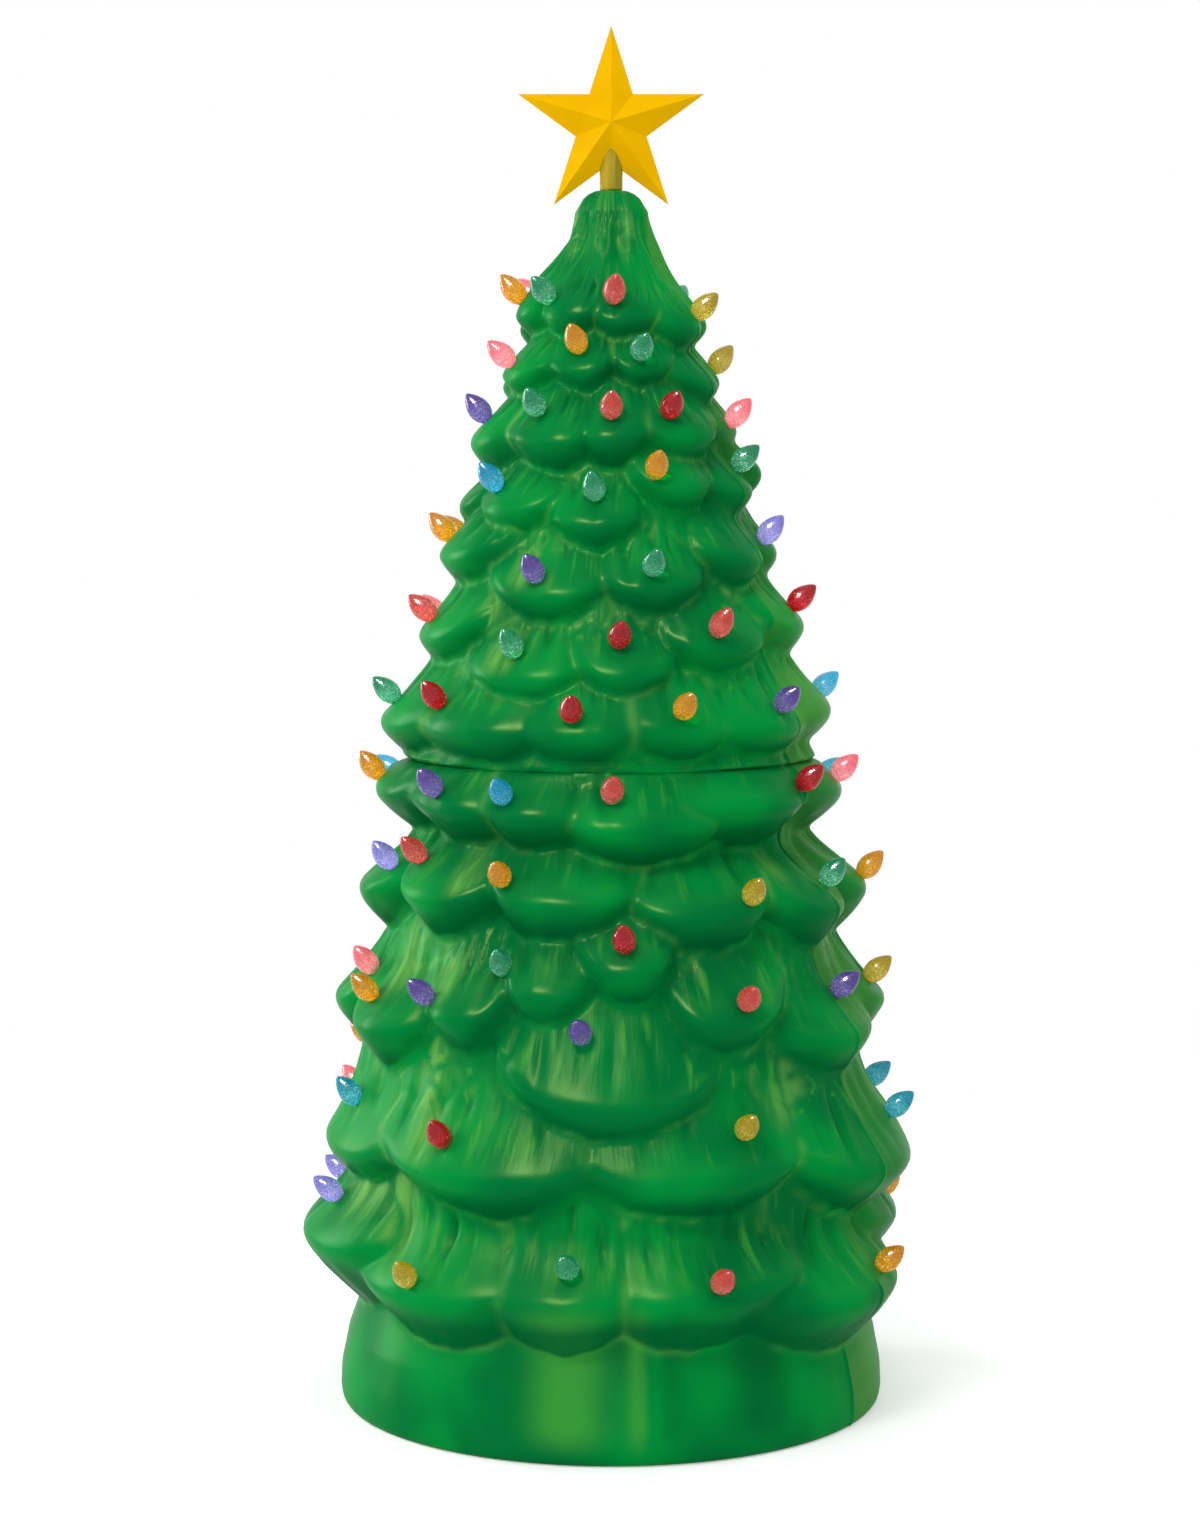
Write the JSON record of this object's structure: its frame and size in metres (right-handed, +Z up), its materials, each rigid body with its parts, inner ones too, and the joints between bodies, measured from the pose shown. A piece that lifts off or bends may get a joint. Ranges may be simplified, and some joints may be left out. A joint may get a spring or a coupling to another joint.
{
  "type": "blow mold christmas tree",
  "caption": "Floor-standing blow-moulded Christmas tree in two stacking green sections, with translucent bulbs set through the wall and a faceted star on the top.",
  "frame": {"origin": "centre of the foot ring, on the floor", "axes": "+Z up through the star, -Y to the front, +X to the right as seen from the front"},
  "size_m": [0.5211, 0.5162, 1.168],
  "materials": {
    "tree_green": "satin moulded polyethylene",
    "bulb": "translucent, pebbled; each bulb is red, coral, amber, gold, green, blue, purple, lavender or pink",
    "star_yellow": "satin",
    "sleeve_olive": "translucent yellow over the green post",
    "post_green": "satin",
    "base_green": "fine grain",
    "button_grey": "matte",
    "gland_black": "matte",
    "driver_black": "matte",
    "connector_white": "matte",
    "cable_green": "matte",
    "lamp_clear": "translucent",
    "screw_steel": "zinc plated"
  },
  "bodies": {
    "lower_body": {"lower_shell": "tree_green", "light_string_01": "bulb", "light_string_02": "bulb", "light_string_03": "bulb", "light_string_04": "bulb", "light_string_05": "bulb", "light_string_06": "bulb", "base_cover": "base_green", "cover_screw_1": "screw_steel", "cover_screw_2": "screw_steel", "cover_screw_3": "screw_steel", "cover_screw_4": "screw_steel", "led_driver": "driver_black", "driver_screw_1": "screw_steel", "driver_screw_2": "screw_steel", "control_panel": "base_green", "push_switch": "driver_black", "cord_gland": "gland_black", "lower_connector": "connector_white", "wiring_cable": "cable_green"},
    "button_body": {"power_button": "button_grey"},
    "upper_body": {"upper_shell": "tree_green", "light_string_07": "bulb", "light_string_08": "bulb", "light_string_09": "bulb", "light_string_10": "bulb", "light_string_11": "bulb", "light_string_12": "bulb", "light_string_13": "bulb", "upper_connector": "connector_white"},
    "post_body": {"star_post": "post_green", "star_lamp": "lamp_clear"},
    "star_body": {"star_sleeve": "sleeve_olive", "star_front": "star_yellow", "star_back": "star_yellow"}
  },
  "joints": [
    {"name": "button_press", "type": "slide", "parent": "lower_body", "child": "button_body", "axis": [0, -1, 0], "range_m": [0, 0.0022], "stiffness_N_per_m": 300, "springref_m": -0.001},
    {"name": "upper_lift", "type": "slide", "parent": "lower_body", "child": "upper_body", "axis": [0, 0, 1], "range_m": [0, 0.04]},
    {"name": "star_turn", "type": "hinge", "parent": "upper_body", "child": "post_body", "pos_m": [0, 0, 1.031], "axis": [0, 0, 1], "range_deg": [-90, 90]},
    {"name": "star_lift", "type": "slide", "parent": "post_body", "child": "star_body", "axis": [0, 0, 1], "range_m": [0, 0.07]}
  ]
}
